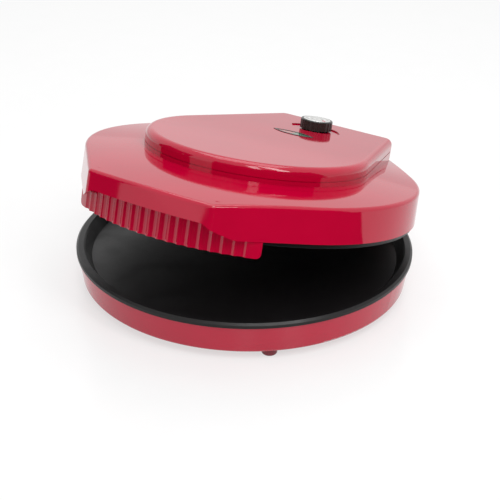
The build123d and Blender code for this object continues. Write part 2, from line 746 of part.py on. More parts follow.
def control_cover():
    """Raised cover with soft edges, the dial's almond recess and the light window's opening."""
    height = cover_top_z - plinth_z
    cover = extrude(Pos(0, 0, plinth_z) * cover_face(), height)
    cover = fillet(cover.edges().group_by(Axis.Z)[-1], cover_edge_round)
    cover -= extrude(Pos(0, 0, plinth_z) * cover_face(-cover_wall), height - cover_wall)
    seam = extrude(Pos(0, 0, plinth_z) * cover_face(1), seam_width)
    seam -= extrude(Pos(0, 0, plinth_z) * cover_face(-seam_depth), seam_width)
    cover -= seam
    for x, y in cover_screw_points:
        foot_z = crown_z(hypot(x, y) - plate_boss_radius) + fit_gap
        cover += rod(plate_boss_radius - 0.6, foot_z, cover_under_z + 0.5, x, y)
        cover -= rod(screw_hole_radius, foot_z, cover_under_z - 3, x, y)
    cover -= extrude(Pos(0, knob_y, eye_floor_z) * almond(eye_half_length, eye_half_width), eye_depth)
    cover -= rod(neck_radius + neck_clearance, cover_under_z - 1, cover_top_z, 0, knob_y)
    seat = almond(window_half_length - bezel_width, window_half_width - bezel_width / 2)
    cover -= extrude(Pos(0, window_y, cover_under_z - 1) * seat, cover_wall + 2)
    return cover


def control_cover_screws():
    return screws(cover_screw_length, [Pos(x, y, cover_screw_seat(x, y)) for x, y in cover_screw_points])


def upper_plate_screws():
    """From above, through the lid's top into the upper plate's bosses."""
    places = [place * Rot(180, 0, 0) for place in plate_places(plate_screw_seat)]
    return screws(plate_screw_seat - upper_back_z - 1, places)


def handle_screw_places(z):
    middle = handle_inner_radius + handle_flange_width * 0.68
    outer = degrees(asin(handle_screw_x / middle))
    return [polar(middle, 270 + angle, z) for angle in (-outer, 0, outer)]


def sector(inner, outer, z0, z1, half_angle):
    """Part of a ring, centred on the front."""
    outline = Plane.XZ * Polyline((inner, z0), (outer, z0), (outer, z1), (inner, z1), close=True)
    return Rot(0, 0, 270 - half_angle) * revolve(make_face(outline), Axis.Z, 2 * half_angle)


def handle():
    """Curved grip band with upright scallops, plain end blocks and a screw flange."""
    grip = sector(handle_inner_radius, handle_outer_radius, handle_bottom_z, skirt_z - 2 * fit_gap,
                  handle_half_angle)
    ends = [e for e in grip.edges() if abs(e.center().Z - handle_bottom_z) < 0.01 and e.length < 10]
    grip = fillet(ends, handle_end_round)
    upper = sector(handle_inner_radius, handle_outer_radius, skirt_z - 1, handle_top_z, handle_half_angle)
    upper += sector(handle_inner_radius, handle_inner_radius + handle_flange_width,
                    handle_top_z - handle_flange, handle_top_z, handle_flange_half_angle)
    inside = lid_prism(skirt_z - 1, lid_under_z, lean(skirt_z - 1) - lid_wall - fit_gap * 2,
                       lean(lid_under_z) - lid_wall - fit_gap * 2)
    grip += upper & inside
    reach = handle_half_angle - handle_end_angle
    scallop = rod(rib_scallop_radius, handle_bottom_z - 1, handle_top_z - handle_flange - 1)
    middle = handle_outer_radius + rib_scallop_radius - rib_depth
    for i in range(rib_count):
        angle = 270 - reach + 2 * reach * (i + 0.5) / rib_count
        grip -= polar(middle, angle) * scallop
    for place in handle_screw_places(0):
        grip -= place * rod(screw_hole_radius, handle_top_z - 10, handle_top_z + 1)
    return grip


def handle_screws():
    return screws(handle_screw_length, handle_screw_places(handle_top_z - handle_flange))


# ---------------------------------------------------------------- controls
def indicator_bezel():
    """Almond-shaped frame: a flange on the cover and a collar through it."""
    flange = extrude(Pos(0, 0, cover_top_z) * almond(window_half_length, window_half_width), bezel_proud)
    collar_face = almond(window_half_length - bezel_width - fit_gap,
                         window_half_width - bezel_width / 2 - fit_gap)
    collar = extrude(Pos(0, 0, cover_top_z + bezel_proud - bezel_height) * collar_face, bezel_height)
    frame = flange + collar
    frame -= extrude(Pos(0, 0, cover_top_z - bezel_height) * lens_face(0), bezel_height * 2)
    return Pos(0, window_y, 0) * frame


def lens_face(shrink):
    """Opening of the bezel, or with shrink the lens that fills it."""
    return almond(window_half_length - 2.6 * bezel_width - shrink, window_half_width - 1.4 * bezel_width - shrink)


def lens(side):
    """Half of the light window: side -1 is the left, red one, side 1 the right, green one."""
    top = cover_top_z + bezel_proud - lens_recess
    body = extrude(Pos(0, 0, top - lens_thickness) * lens_face(lens_gap), lens_thickness)
    half_box = Box(window_half_length, 4 * window_half_width, 4 * lens_thickness)
    half = Pos(side * (window_half_length / 2 + lens_gap / 2), 0, top) * half_box
    return Pos(0, window_y, 0) * (body & half)


def lamp(side):
    """Neon lamp lying under its lens."""
    z = cover_top_z + bezel_proud - bezel_height - lamp_gap - lamp_radius
    body = Rot(90, 0, 0) * Cylinder(lamp_radius, lamp_length - 2 * lamp_radius)
    body += Pos(0, lamp_length / 2 - lamp_radius, 0) * Sphere(lamp_radius)
    body += Pos(0, -lamp_length / 2 + lamp_radius, 0) * Box(4.6, 2.4, 4.6)
    return Pos(side * lamp_x, window_y, z) * body


def lamp_holder():
    """Bridge under the light window that carries the two lamps."""
    half = window_half_length + lamp_holder_overhang
    top = cover_top_z + bezel_proud - bezel_height - lamp_gap - 2 * lamp_radius - 0.2
    low = top - lamp_holder_sheet
    plate = Pos(0, 0, (top + low) / 2) * Box(2 * half, lamp_holder_width, lamp_holder_sheet)
    for side in (-1, 1):
        leg = Box(lamp_holder_leg, lamp_holder_width * 0.7, cover_under_z - low)
        plate += Pos(side * (half - lamp_holder_leg / 2), 0, (low + cover_under_z) / 2) * leg
    return Pos(0, window_y, 0) * plate


def thermostat():
    """Round thermostat with a threaded neck that clamps it in the cover."""
    top = cover_under_z
    can = rod(thermostat_radius, top - thermostat_height, top)
    can = fillet(can.edges().group_by(Axis.Z)[0], 1.5)
    can += rod(neck_radius, top, eye_floor_z + nut_height + 0.8)
    for side in (-1, 1):
        can += Pos(side * 5.0, -6.0, top - thermostat_height - 3) * Box(0.8, 6.3, 7)
    can -= rod(shaft_radius + shaft_clearance, top - thermostat_height + 3, cover_top_z + 5)
    return Pos(0, knob_y, 0) * can


def thermostat_nut():
    nut = extrude(RegularPolygon(nut_radius, 6), nut_height)
    nut -= rod(neck_radius + fit_gap / 2, 0, nut_height)
    return Pos(0, knob_y, eye_floor_z) * nut


def shaft_form(radius, z0, z1, flat):
    """D-shaped shaft between two levels."""
    form = rod(radius, z0, z1)
    return form - Pos(radius - flat + radius, 0, (z0 + z1) / 2) * Box(2 * radius, 4 * radius, z1 - z0)


def knob_bottom_z():
    return cover_top_z + knob_lift


def thermostat_shaft():
    """Shaft from the thermostat to the knob, flattened where the knob grips it."""
    low = cover_under_z - thermostat_height + 3.2
    neck_top = eye_floor_z + nut_height + 1.0
    top = knob_bottom_z() + shaft_reach
    shaft = rod(shaft_radius, low, neck_top) + shaft_form(shaft_radius, neck_top, top, shaft_flat)
    return Pos(0, knob_y, 0) * shaft


def control_knob():
    """Hollow fluted dial with a hub that takes the D-shaft."""
    low = knob_bottom_z()
    top = low + knob_height
    knob = rod(knob_radius, low, top)
    knob = fillet(knob.edges().group_by(Axis.Z)[-1], knob_edge_round)
    for i in range(knob_flutes):
        knob -= polar(knob_radius + knob_flute_radius * 0.45, 360 * i / knob_flutes) * rod(
            knob_flute_radius, low - 1, top - knob_edge_round)
    knob -= rod(knob_radius - knob_wall, low, top - knob_wall - knob_cap_thickness)
    knob += rod(knob_hub_radius, low + nut_height + 2.0, top - knob_wall)
    bore = shaft_form(shaft_radius + fit_gap / 2, low, low + shaft_reach + 0.2, shaft_flat)
    knob -= bore
    knob -= rod(knob_cap_radius + fit_gap, top - knob_cap_thickness, top)
    return Pos(0, knob_y, 0) * knob


def knob_cap():
    """Bright disc let into the dial's face, its edge softened."""
    top = knob_bottom_z() + knob_height
    cap = rod(knob_cap_radius, top - knob_cap_thickness, top + 0.3)
    return Pos(0, knob_y, 0) * fillet(cap.edges().group_by(Axis.Z)[-1], 0.5)


# ---------------------------------------------------------------- assembly
lower_ring_z = pan_under_z - element_gap - element_tube_radius
upper_ring_z = upper_back_z + element_gap + element_tube_radius

base_pieces = {
    "base_shell": base_shell(),
    "lower_plate": lower_plate(),
    "lower_plate_screws": lower_plate_screws(),
    "lower_element": element(lower_ring_z),
    "lower_element_clips": element_clips(lower_ring_z, 1),
    "lower_reflector": reflector(lower_reflector_z, 1),
    "thermal_fuse": thermal_fuse(),
    "terminal_block": terminal_block(),
    "cord_gland": cord_gland(),
    "foot_screws": foot_screws(),
    "hinge_bracket": hinge_bracket(),
    "hinge_bracket_screws": hinge_bracket_screws(),
    "hinge_pin": hinge_pin(),
    "hinge_pin_clips": hinge_pin_clips(),
}
for name, place in foot_places().items():
    base_pieces[name] = place * foot()

lid_pieces = {
    "lid_shell": lid_shell(),
    "lid_hinge": lid_hinge(),
    "lid_hinge_screws": lid_hinge_screws(),
    "upper_plate": upper_plate(),
    "upper_plate_screws": upper_plate_screws(),
    "upper_element": element(upper_ring_z),
    "upper_element_clips": element_clips(upper_ring_z, -1),
    "upper_reflector": reflector(upper_reflector_z, -1),
    "handle": handle(),
    "handle_screws": handle_screws(),
    "control_cover": control_cover(),
    "control_cover_screws": control_cover_screws(),
    "indicator_bezel": indicator_bezel(),
    "red_lens": lens(-1),
    "green_lens": lens(1),
    "lamp_holder": lamp_holder(),
    "power_lamp": lamp(-1),
    "ready_lamp": lamp(1),
    "thermostat": thermostat(),
    "thermostat_nut": thermostat_nut(),
    "control_knob": control_knob(),
    "knob_cap": knob_cap(),
    "thermostat_shaft": thermostat_shaft(),
}

to_hinge = Pos(0, hinge_axis_y, hinge_z)
open_lid = to_hinge * Rot(-lid_open_angle, 0, 0) * to_hinge.inverse()
machine = dict(base_pieces)
machine.update({name: open_lid * piece for name, piece in lid_pieces.items()})

# The origin stands on the table, under the middle of the open oven's length.
middle_y = Compound(list(machine.values())).bounding_box().center().Y
pieces = {name: Pos(0, -middle_y, 0) * piece for name, piece in machine.items()}

os.makedirs("parts", exist_ok=True)
for name, piece in pieces.items():
    export_step(piece, f"parts/{name}.step")
    print(f"{name}: {len(piece.solids())} solids, {piece.volume:.0f} mm3")
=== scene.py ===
"""Dresses the countertop pizza oven: finishes for its moulded, cast and pressed
pieces, the pointer on its dial, and a plain studio to look at it in."""

import json
import math

import bpy
from mathutils import Matrix, Quaternion, Vector


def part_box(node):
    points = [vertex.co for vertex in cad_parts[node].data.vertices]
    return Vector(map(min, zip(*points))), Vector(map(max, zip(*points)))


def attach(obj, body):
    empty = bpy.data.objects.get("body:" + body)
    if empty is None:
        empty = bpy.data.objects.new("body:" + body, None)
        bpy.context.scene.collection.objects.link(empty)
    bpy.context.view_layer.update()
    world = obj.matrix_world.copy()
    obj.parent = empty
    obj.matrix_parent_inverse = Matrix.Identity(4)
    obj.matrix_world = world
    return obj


bl_info = {
    "name": "Countertop pizza oven",
    "version": (1, 0, 0),
    "blender": (4, 5, 0),
    "location": "View3D > Sidebar > Oven",
    "description": "Finishes, dial pointer and studio for a countertop pizza oven",
    "category": "Object",
}

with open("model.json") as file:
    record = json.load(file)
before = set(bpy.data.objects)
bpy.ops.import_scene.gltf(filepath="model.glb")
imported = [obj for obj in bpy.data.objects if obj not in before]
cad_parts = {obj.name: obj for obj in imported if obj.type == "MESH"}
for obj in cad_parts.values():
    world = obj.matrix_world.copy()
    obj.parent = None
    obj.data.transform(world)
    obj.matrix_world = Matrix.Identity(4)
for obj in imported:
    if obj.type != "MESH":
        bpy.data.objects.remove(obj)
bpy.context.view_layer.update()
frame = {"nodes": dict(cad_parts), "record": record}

MM = 0.001
NOISE_SPREAD = (0.3, 0.7)      # where most of a noise factor lies
RING_SCALE = 55.0              # of the rings on the dial's cap, 0.314 / spacing in metres

# the studio, in metres and in degrees from the front towards the right
CARD_RADIUS = 1.7
CARD_FOOT = 0.001
FLOOR_CARD_INNER = 0.36
FLOOR_CARD_OUTER = 1.69
FLOOR_CARD_LIFT = 0.0005
RIGHT_FLAG = (-12, 97)
LEFT_FLAG = (-80, -37)
FLAG_GLOW = 0.03               # black cloth still returns a little light
PAPER_GLOW = 0.62              # share of plain white in the floor, so that it stays pale
LIGHT_AIM = Vector((0, 0, 0.08))


# ---------------------------------------------------------------- helpers

def linear(hex_colour):
    """An sRGB hex colour as the linear RGBA that a shader socket takes."""
    parts = [int(hex_colour[i:i + 2], 16) / 255 for i in (1, 3, 5)]
    bent = [part / 12.92 if part <= 0.04045 else ((part + 0.055) / 1.055) ** 2.4
            for part in parts]
    return (*bent, 1.0)


def add_node(tree, kind, settings=None, **inputs):
    """Adds one node. settings are its own fields; inputs are values or output sockets,
    with _ for a space in the socket's name, or a number in n0, n1 for its place."""
    made = tree.nodes.new(kind)
    for field, value in (settings or {}).items():
        setattr(made, field, value)
    for name, value in inputs.items():
        numbered = name[0] == "n" and name[1:].isdigit()
        place = int(name[1:]) if numbered else name.replace("_", " ")
        socket = made.inputs[place]
        if isinstance(value, bpy.types.NodeSocket):
            tree.links.new(value, socket)
        else:
            socket.default_value = value
    return made


def new_material(name):
    """An empty material with its output node."""
    material = bpy.data.materials.new(name)
    material.use_nodes = True
    tree = material.node_tree
    tree.nodes.clear()
    return material, tree, add_node(tree, "ShaderNodeOutputMaterial")


def object_coords(tree):
    """Coordinates that stay with the piece."""
    return add_node(tree, "ShaderNodeTexCoord").outputs["Object"]


def seen_directly(tree):
    """1 for what the eye, a reflection or a clear piece shows, and 0 for light on things."""
    path = add_node(tree, "ShaderNodeLightPath")
    seen = add_node(tree, "ShaderNodeMath", {"operation": "MAXIMUM"},
                    n0=path.outputs["Is Camera Ray"], n1=path.outputs["Is Glossy Ray"])
    return add_node(tree, "ShaderNodeMath", {"operation": "MAXIMUM"},
                    n0=seen.outputs[0], n1=path.outputs["Is Transmission Ray"]).outputs[0]


def noise(tree, coords, size_mm, detail=2.0, roughness=0.5):
    """Noise whose lumps are about size_mm across."""
    return add_node(tree, "ShaderNodeTexNoise", Vector=coords, Scale=1.0 / (size_mm * MM),
                    Detail=detail, Roughness=roughness).outputs["Fac"]


def spread(tree, factor, low, high, start=NOISE_SPREAD[0], end=NOISE_SPREAD[1]):
    """Maps a noise factor onto the range low to high."""
    return add_node(tree, "ShaderNodeMapRange", n0=factor, n1=start, n2=end,
                    n3=low, n4=high).outputs[0]


def tint(tree, factor, first, second):
    """A colour between two hex colours."""
    ramp = add_node(tree, "ShaderNodeValToRGB", Fac=factor)
    ramp.color_ramp.elements[0].color = linear(first)
    ramp.color_ramp.elements[1].color = linear(second)
    return ramp.outputs["Color"]


def bump(tree, height, depth_mm, strength):
    """A bump of depth_mm from a height between 0 and 1."""
    return add_node(tree, "ShaderNodeBump", Height=height, Strength=strength,
                    Distance=depth_mm * MM).outputs["Normal"]


def finish_surface(tree, output, **inputs):
    """Adds the shader and links it to the output."""
    shader = add_node(tree, "ShaderNodeBsdfPrincipled", **inputs)
    tree.links.new(shader.outputs["BSDF"], output.inputs["Surface"])


def dress(material, *nodes):
    """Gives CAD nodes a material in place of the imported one."""
    for name in nodes:
        for place in frame["nodes"][name].material_slots:
            place.material = material


def deselect_all():
    """Leaves object mode with nothing selected."""
    if bpy.context.object and bpy.context.object.mode != "OBJECT":
        bpy.ops.object.mode_set(mode="OBJECT")
    bpy.ops.object.select_all(action="DESELECT")


def settle(obj):
    """Puts an object's place, turn and scale into its mesh."""
    deselect_all()
    bpy.context.view_layer.objects.active = obj
    obj.select_set(True)
    bpy.ops.object.transform_apply(location=True, rotation=True, scale=True)
    deselect_all()


def dial_axis():
    """The dial's outward axis, which leans with the lid."""
    joint = next(j for j in frame["record"]["behaviour"]["joints"] if j["name"] == "dial_turn")
    return -Vector(joint["axis"]).normalized()


def direction(azimuth, elevation):
    """The unit vector at an azimuth from the front, towards the right, and an elevation."""
    return Vector((math.sin(azimuth) * math.cos(elevation),
                   -math.cos(azimuth) * math.cos(elevation), math.sin(elevation)))


def box_centre(node):
    """The middle of a node's box."""
    low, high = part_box(node)
    return (Vector(low) + Vector(high)) / 2


# -------------------------------------------------------------- materials

def moulded_abs(name, colour, shade, gloss):
    """ABS from a polished mould: deep clear colour, mirror gloss, and the faint
    long ripple that the mould's polish leaves in a reflection."""
    material, tree, output = new_material(name)
    coords = object_coords(tree)
    cloud = noise(tree, coords, 60, 3)
    ripple = noise(tree, coords, 9, 2)
    dust = noise(tree, coords, 2.2, 4, 0.7)
    finish_surface(
        tree, output,
        Base_Color=tint(tree, spread(tree, cloud, 0.0, 1.0), shade, colour),
        Roughness=spread(tree, dust, gloss, gloss + 0.035),
        IOR=1.53,
        Normal=bump(tree, ripple, 0.012, 0.35),
    )
    return material


def nonstick_coating():
    """Sprayed and baked fluoropolymer on cast aluminium: near black, satin, with
    the cast grain showing through and sparse paler flecks about 0.5 mm across."""
    material, tree, output = new_material("non-stick coated cast aluminium")
    coords = object_coords(tree)
    grain = noise(tree, coords, 1.1, 4, 0.6)
    flecks = noise(tree, coords, 0.55, 1)
    patches = noise(tree, coords, 22, 3)
    finish_surface(
        tree, output,
        Base_Color=tint(tree, spread(tree, flecks, 0.0, 1.0, 0.62, 0.78), "#131112", "#343132"),
        Roughness=spread(tree, patches, 0.3, 0.42),
        IOR=1.38,
        Normal=bump(tree, grain, 0.05, 0.5),
    )
    return material


def metal(name, light, dark, roughness, grain_mm, stretch=(1.0, 1.0, 1.0), depth_mm=0.01):
    """A bare or plated metal: its own colour in the reflection, a little cloudy,
    with grain of grain_mm that a stretch turns into rolling or drawing lines."""
    material, tree, output = new_material(name)
    coords = object_coords(tree)
    drawn = add_node(tree, "ShaderNodeMapping", Vector=coords, Scale=stretch).outputs[0]
    grain = noise(tree, drawn, grain_mm, 4, 0.65)
    cloud = noise(tree, coords, 14, 3)
    finish_surface(
        tree, output,
        Base_Color=tint(tree, spread(tree, cloud, 0.0, 1.0), dark, light),
        Metallic=1.0,
        Roughness=spread(tree, grain, roughness, roughness + 0.14),
        Normal=bump(tree, grain, depth_mm, 0.4),
    )
    return material


def dull_solid(name, light, dark, roughness, grain_mm, depth_mm, ior):
    """A moulded or fired matt body: small changes of shade and a fine grain."""
    material, tree, output = new_material(name)
    coords = object_coords(tree)
    grain = noise(tree, coords, grain_mm, 4, 0.6)
    cloud = noise(tree, coords, 18, 2)
    finish_surface(
        tree, output,
        Base_Color=tint(tree, spread(tree, cloud, 0.0, 1.0), dark, light),
        Roughness=spread(tree, grain, roughness - 0.05, roughness + 0.08),
        IOR=ior,
        Normal=bump(tree, grain, depth_mm, 0.5),
    )
    return material


def spun_cap(centre, axis):
    """Aluminium faced on a lathe: bright, with turned rings round the dial's axis. The
    real ones are a fraction of a millimetre apart; these are 5.7 mm apart, to show."""
    material, tree, output = new_material("spun aluminium")
    coords = object_coords(tree)
    upright = axis.rotation_difference(Vector((0, 0, 1)))
    turned = upright.to_euler()
    shift = -(upright @ centre)
    mapped = add_node(tree, "ShaderNodeMapping", Vector=coords, Location=shift,
                      Rotation=turned).outputs[0]
    rings = add_node(tree, "ShaderNodeTexWave",
                     {"wave_type": "RINGS", "rings_direction": "Z", "wave_profile": "SIN"},
                     Vector=mapped, Scale=RING_SCALE, Distortion=0.6, Detail=2.0).outputs["Fac"]
    finish_surface(
        tree, output,
        Base_Color=tint(tree, rings, "#C6C6C4", "#E2E2E0"),
        Metallic=1.0,
        Roughness=spread(tree, rings, 0.24, 0.36, 0.0, 1.0),
        Anisotropic=0.6,
        Normal=bump(tree, rings, 0.02, 0.3),
    )
    return material


def lens(name, colour, deep):
    """Tinted polycarbonate: clear enough for a lamp behind it, with a pressed
    diffusing grain inside that varies its tone a little."""
    material, tree, output = new_material(name)
    coords = object_coords(tree)
    grain = noise(tree, coords, 1.6, 2)
    finish_surface(
        tree, output,
        Base_Color=tint(tree, spread(tree, grain, 0.0, 1.0), deep, colour),
        Roughness=spread(tree, grain, 0.06, 0.14),
        IOR=1.585,
        Transmission_Weight=0.25,
        Normal=bump(tree, grain, 0.03, 0.4),
    )
    return material


def lamp_glass():
    """Thin drawn soda glass of a neon lamp, with its faint draw lines."""
    material, tree, output = new_material("drawn lamp glass")
    coords = object_coords(tree)
    lines = noise(tree, coords, 3.0, 2)
    finish_surface(
        tree, output,
        Base_Color=tint(tree, lines, "#E8D9C8", "#F6EEE6"),
        Roughness=spread(tree, lines, 0.02, 0.07),
        IOR=1.52,
        Transmission_Weight=0.85,
    )
    return material


# ------------------------------------------------------------- properties

class OvenFinish(bpy.types.PropertyGroup):
    """Colours and small trim of the oven."""

    housing: bpy.props.StringProperty(
        name="Housing", description="Colour of the moulded housing, sRGB hex", default="#B3002E")
    housing_shade: bpy.props.StringProperty(
        name="Housing shade", description="Deeper tone of the housing, sRGB hex", default="#AB002B")
    gloss: bpy.props.FloatProperty(
        name="Gloss", description="Roughness of the polished mouldings",
        default=0.045, min=0.0, max=1.0, subtype="FACTOR")
    # Painted shade: the feet default to a darker crimson than the housing, the shade under the base
    # put into their colour
    feet: bpy.props.StringProperty(
        name="Feet", description="Colour of the feet, sRGB hex", default="#7C0A24")
    pointer: bpy.props.StringProperty(
        name="Pointer", description="Colour of the dial's pointer, sRGB hex", default="#C23A52")
    pointer_length: bpy.props.FloatProperty(
        name="Pointer length", description="Length of the dial's pointer",
        default=0.0042, min=0.001, unit="LENGTH")
    pointer_width: bpy.props.FloatProperty(
        name="Pointer width", description="Width of the dial's pointer",
        default=0.0022, min=0.0005, unit="LENGTH")
    pointer_height: bpy.props.FloatProperty(
        name="Pointer height", description="How far the pointer stands up from the cap",
        default=0.00025, min=0.0001, unit="LENGTH")
    pointer_angle: bpy.props.FloatProperty(
        name="Pointer angle", description="Where the pointer stands on the cap",
        default=math.radians(-18), subtype="ANGLE", unit="ROTATION")


class OvenStudio(bpy.types.PropertyGroup):
    """Camera and light."""

    distance: bpy.props.FloatProperty(
        name="Camera distance", description="From the middle of the lower pan's rim",
        default=1.36, min=0.5, unit="LENGTH")
    azimuth: bpy.props.FloatProperty(
        name="Camera azimuth", description="Round to the right of the handle",
        default=math.radians(32.02), subtype="ANGLE", unit="ROTATION")
    elevation: bpy.props.FloatProperty(
        name="Camera elevation", description="Above the floor",
        default=math.radians(27.17), subtype="ANGLE", unit="ROTATION")
    roll: bpy.props.FloatProperty(
        name="Camera roll", description="About the line of sight",
        default=math.radians(1.16), subtype="ANGLE", unit="ROTATION")
    focal: bpy.props.FloatProperty(
        name="Focal length", description="On a 36 mm sensor", default=96.127, min=10)
    shift_x: bpy.props.FloatProperty(
        name="Shift right", description="Lens shift to the right", default=0.011)
    shift_y: bpy.props.FloatProperty(
        name="Shift up", description="Lens shift upwards", default=-0.0132)
    room: bpy.props.FloatProperty(
        name="Room light", description="Strength of the even light", default=0.62, min=0)
    key: bpy.props.FloatProperty(
        name="Right softbox", description="Power of the softbox high on the right",
        default=5.5, min=0, unit="POWER")
    front: bpy.props.FloatProperty(
        name="Front softbox", description="Power of the softbox high in front",
        default=2.6, min=0, unit="POWER")
    top: bpy.props.FloatProperty(
        name="Top softbox", description="Power of the softbox overhead",
        default=9.0, min=0, unit="POWER")


# -------------------------------------------------------------- operators

class OVEN_OT_housing(bpy.types.Operator):
    """Finishes the glossy moulded housing, its handle, cover and feet"""

    bl_idname = "oven.housing"
    bl_label = "Moulded housing"

    def execute(self, context):
        looks = context.scene.oven_finish
        gloss_abs = moulded_abs("high-gloss moulded ABS", looks.housing,
                                looks.housing_shade, looks.gloss)
        dress(gloss_abs, "base_shell", "lid_shell", "handle", "control_cover")
        # Painted shade: the feet are the housing's ABS, in the darker crimson of the shade under
        # the base
        foot_abs_painted_shade = moulded_abs("moulded ABS, feet", looks.feet, "#6C0820", 0.16)
        dress(foot_abs_painted_shade, "foot_front_left", "foot_front_right",
              "foot_rear_left", "foot_rear_right")
        rubber = dull_solid("moulded black rubber", "#1E1E1E", "#171717", 0.62, 0.8, 0.03, 1.52)
        dress(rubber, "cord_gland")
        return {"FINISHED"}


class OVEN_OT_plates(bpy.types.Operator):
    """Finishes the two cooking plates"""

    bl_idname = "oven.plates"
    bl_label = "Cooking plates"

    def execute(self, context):
        dress(nonstick_coating(), "lower_plate", "upper_plate")
        return {"FINISHED"}


class OVEN_OT_heating(bpy.types.Operator):
    """Finishes the elements, reflectors, thermostat and terminal block"""

    bl_idname = "oven.heating"
    bl_label = "Heating parts"

    def execute(self, context):
        dress(metal("oxidised heater steel", "#7A7672", "#5A5450", 0.42, 1.4),
              "lower_element", "upper_element")
        rolled = metal("rolled aluminium sheet", "#D2D3D3", "#C2C3C4", 0.2, 0.9,
                       (1.0, 0.06, 1.0))
        dress(rolled, "lower_reflector", "upper_reflector")
        dress(metal("zinc-plated steel", "#C3C5C4", "#B1B4B6", 0.24, 0.8),
              "lower_element_clips", "upper_element_clips", "thermal_fuse", "lower_plate_screws",
              "upper_plate_screws", "foot_screws", "hinge_bracket_screws", "hinge_pin_clips",
              "lid_hinge_screws", "handle_screws", "control_cover_screws", "thermostat_nut")
        steatite = dull_solid("unglazed steatite ceramic", "#DDD6C6", "#D0C8B6",
                              0.62, 0.7, 0.03, 1.6)
        dress(steatite, "terminal_block")
        return {"FINISHED"}


class OVEN_OT_hinge(bpy.types.Operator):
    """Finishes the hinge's pressed leaves and its pin"""

    bl_idname = "oven.hinge"
    bl_label = "Hinge"

    def execute(self, context):
        pressed = metal("pressed zinc-plated steel", "#BFC1C1", "#AEB1B3", 0.28, 0.7,
                        (0.08, 1.0, 1.0))
        dress(pressed, "hinge_bracket", "lid_hinge")
        ground = metal("ground steel rod", "#C9C9C8", "#BBBBBB", 0.16, 0.5, (1.0, 8.0, 8.0))
        dress(ground, "hinge_pin")
        return {"FINISHED"}


class OVEN_OT_controls(bpy.types.Operator):
    """Finishes the dial, the lamps and the window over them"""

    bl_idname = "oven.controls"
    bl_label = "Dial and lamps"

    def execute(self, context):
        black = dull_solid("moulded black phenolic", "#22221E", "#191916", 0.3, 0.6, 0.02, 1.6)
        dress(black, "control_knob", "indicator_bezel", "lamp_holder")
        dress(spun_cap(box_centre("knob_cap"), dial_axis()), "knob_cap")
        dress(lens("tinted red polycarbonate", "#BE5C58", "#A84844"), "red_lens")
        dress(lens("tinted green polycarbonate", "#5F876E", "#4C7359"), "green_lens")
        dress(lamp_glass(), "power_lamp", "ready_lamp")
        dress(metal("turned brass", "#C9A566", "#B8925A", 0.22, 0.5), "thermostat_shaft")
        dress(metal("pressed steel can", "#B9BBBA", "#A6A9AA", 0.3, 0.8), "thermostat")
        return {"FINISHED"}


class OVEN_OT_pointer(bpy.types.Operator):
    """Adds the small painted pointer at the rim of the dial's cap"""

    bl_idname = "oven.pointer"
    bl_label = "Dial pointer"

    def execute(self, context):
        looks = context.scene.oven_finish
        axis = dial_axis()
        low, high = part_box("knob_cap")
        radius = (high[0] - low[0]) / 2
        deselect_all()
        bpy.ops.mesh.primitive_cylinder_add(vertices=24, radius=0.5, depth=1.0)
        pointer = bpy.context.object
        pointer.name = "dial_pointer"
        pointer.data.name = "dial_pointer"
        pointer.scale = (looks.pointer_length, looks.pointer_width, looks.pointer_height * 2)
        settle(pointer)
        bpy.context.view_layer.objects.active = pointer
        soften = pointer.modifiers.new("worn edge", "BEVEL")
        soften.width = looks.pointer_height * 0.4
        soften.segments = 2
        bpy.ops.object.modifier_apply(modifier="worn edge")
        tilt = Vector((0, 0, 1)).rotation_difference(axis).to_matrix().to_4x4()
        top = max(v.co @ axis for v in frame["nodes"]["knob_cap"].data.vertices)
        centre = box_centre("knob_cap")
        seat = centre + axis * (top - centre @ axis)
        spin = Matrix.Rotation(looks.pointer_angle, 4, "Z")
        out = Matrix.Translation((radius - looks.pointer_length * 0.95, 0, 0))
        pointer.matrix_world = Matrix.Translation(seat) @ tilt @ spin @ out
        settle(pointer)
        pointer.data.materials.append(
            dull_solid("pad-printed enamel", looks.pointer, "#B2304A", 0.3, 0.5, 0.01, 1.5))
        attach(pointer, "dial")
        return {"FINISHED"}


def keep_sector(sheet, start, end):
    """Cuts a sheet that is open in edit mode down to the faces between two azimuths."""
    bpy.ops.mesh.select_mode(type="FACE")
    bpy.ops.mesh.select_all(action="DESELECT")
    bpy.ops.object.mode_set(mode="OBJECT")
    for face in sheet.data.polygons:
        azimuth = math.degrees(math.atan2(face.center.x, -face.center.y))
        face.select = not (start <= azimuth <= end)
    bpy.ops.object.mode_set(mode="EDIT")
    bpy.ops.mesh.delete(type="FACE")
    bpy.ops.object.mode_set(mode="OBJECT")


def wall_card(name, high, start, end):
    """A curved flag of black cloth that only reflections see."""
    deselect_all()
    bpy.ops.mesh.primitive_cylinder_add(
        vertices=144, radius=CARD_RADIUS, depth=high - CARD_FOOT, end_fill_type="NOTHING",
        location=(0, 0, (CARD_FOOT + high) / 2))
    sheet = bpy.context.object
    sheet.name = name
    bpy.ops.object.mode_set(mode="EDIT")
    keep_sector(sheet, start, end)
    reflections_only(sheet)


def floor_card(name, start, end):
    """A flat sector of black cloth on the floor that only reflections see."""
    deselect_all()
    bpy.ops.mesh.primitive_circle_add(vertices=144, radius=FLOOR_CARD_INNER,
                                      fill_type="NOTHING", location=(0, 0, FLOOR_CARD_LIFT))
    sheet = bpy.context.object
    sheet.name = name
    bpy.ops.object.mode_set(mode="EDIT")
    bpy.ops.mesh.select_mode(type="VERT")
    bpy.ops.mesh.select_all(action="SELECT")
    bpy.ops.mesh.extrude_region_move()
    scale = FLOOR_CARD_OUTER / FLOOR_CARD_INNER
    bpy.ops.transform.resize(value=(scale, scale, 1))
    keep_sector(sheet, start, end)
    reflections_only(sheet)


